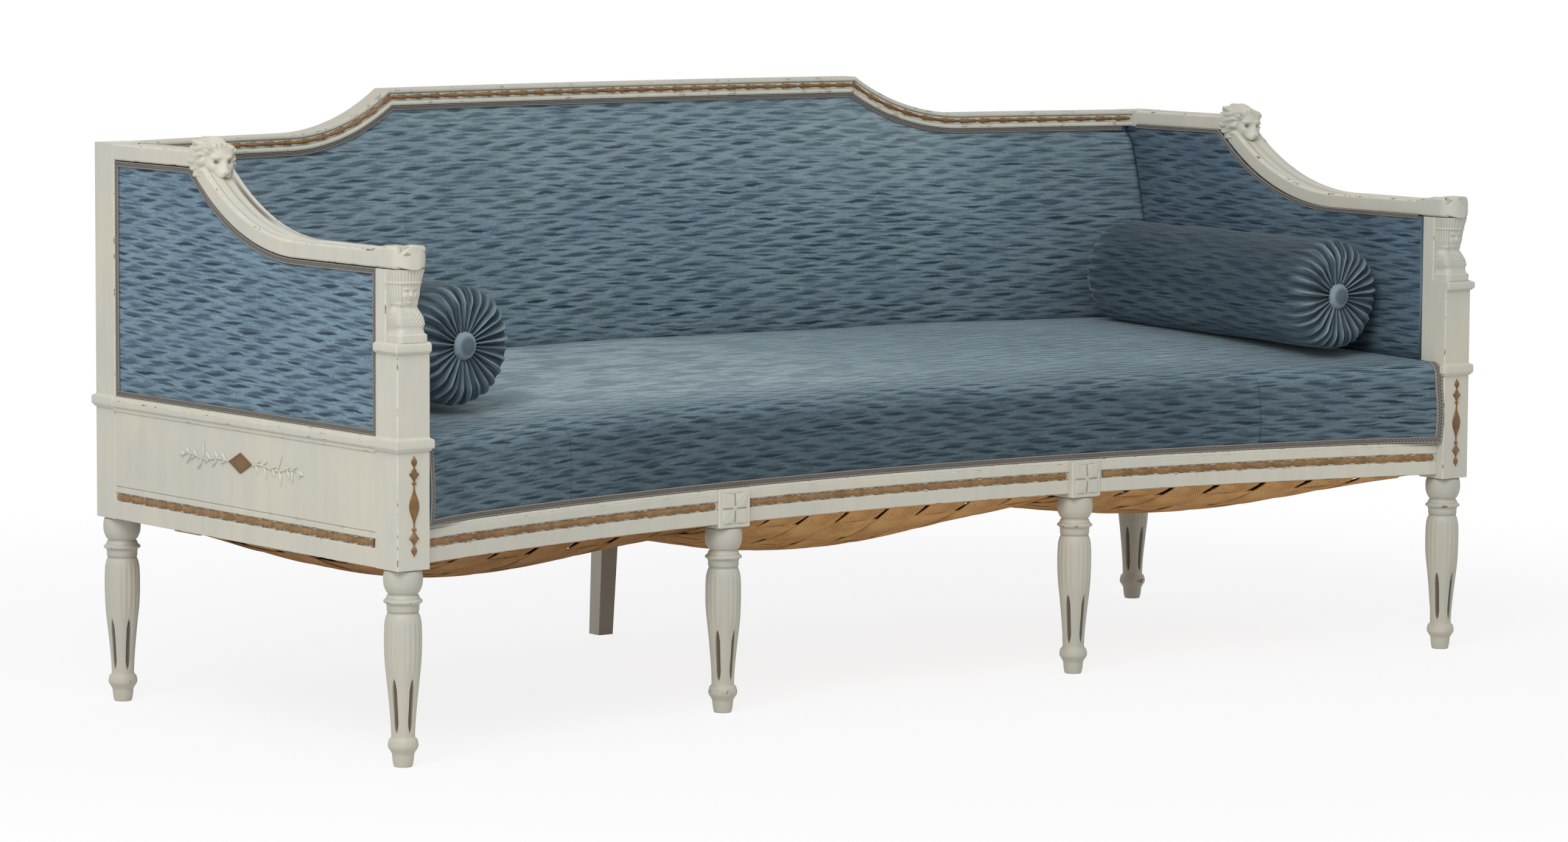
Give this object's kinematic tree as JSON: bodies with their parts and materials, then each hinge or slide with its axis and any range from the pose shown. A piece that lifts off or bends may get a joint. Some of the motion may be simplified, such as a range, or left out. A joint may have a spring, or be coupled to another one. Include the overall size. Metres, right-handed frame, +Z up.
{
  "type": "gustavian sofa",
  "caption": "Painted sofa with a bowed front and back, swept arms with carved heads, turned legs, a stuffed velvet seat and two loose bolsters",
  "frame": {"origin": "on the floor, under the middle of the sofa's box", "axes": "+X along the sofa to its right side as seen from the front, +Y to its back, +Z up"},
  "size_m": [1.962, 0.9114, 0.8515],
  "materials": {
    "paint": "worn greyish white paint over wood",
    "bare_wood": "unpainted hidden timber",
    "gilt": "carved wood with matt gilding",
    "velvet": "blue velvet with small dark dashes",
    "braid": "grey woven braid",
    "jute": "woven jute straps",
    "canvas": "unbleached canvas",
    "stuffing": "horsehair stuffing",
    "spring_steel": "copper washed spring wire"
  },
  "bodies": {
    "frame": {"leg_front_left": "paint", "leg_front_mid_left": "paint", "leg_front_mid_right": "paint", "leg_front_right": "paint", "leg_back_left": "paint", "leg_back_right": "paint", "leg_back_centre": "paint", "post_front_left": "paint", "post_front_right": "paint", "post_back_left": "paint", "post_back_right": "paint", "die_front_left": "paint", "die_front_right": "paint", "front_rail_left": "paint", "front_rail_centre": "paint", "front_rail_right": "paint", "side_rail_left": "paint", "side_rail_right": "paint", "back_rail_left": "paint", "back_rail_right": "paint", "arm_rail_left": "paint", "arm_rail_right": "paint", "crest_rail": "paint", "lion_head_left": "paint", "lion_head_right": "paint", "cross_rail_left": "bare_wood", "cross_rail_right": "bare_wood", "gilt_band_front_left": "gilt", "gilt_band_front_centre": "gilt", "gilt_band_front_right": "gilt", "gilt_band_side_left": "gilt", "gilt_band_side_right": "gilt", "gilt_band_crest": "gilt", "side_ornament_left": "gilt", "side_ornament_right": "gilt", "arabesque_left": "gilt", "arabesque_right": "gilt", "seat_webbing": "jute", "seat_springs": "spring_steel", "spring_canvas": "canvas", "seat_stuffing": "stuffing", "back_stuffing": "stuffing", "arm_stuffing_left": "stuffing", "arm_stuffing_right": "stuffing", "seat_cover": "velvet", "back_cover": "velvet", "arm_cover_left": "velvet", "arm_cover_right": "velvet", "outside_arm_left": "velvet", "outside_arm_right": "velvet", "outside_back_cover": "velvet", "braid_seat": "braid", "braid_back": "braid", "braid_arm_left": "braid", "braid_arm_right": "braid"},
    "bolster_left": {"bolster_left": "velvet", "bolster_buttons_left": "velvet"},
    "bolster_right": {"bolster_right": "velvet", "bolster_buttons_right": "velvet"}
  },
  "joints": [
    {"name": "bolster_left_lift", "type": "slide", "parent": "frame", "child": "bolster_left", "axis": [0, 0, 1], "range_m": [0, 0.5]},
    {"name": "bolster_right_lift", "type": "slide", "parent": "frame", "child": "bolster_right", "axis": [0, 0, 1], "range_m": [0, 0.5]}
  ]
}
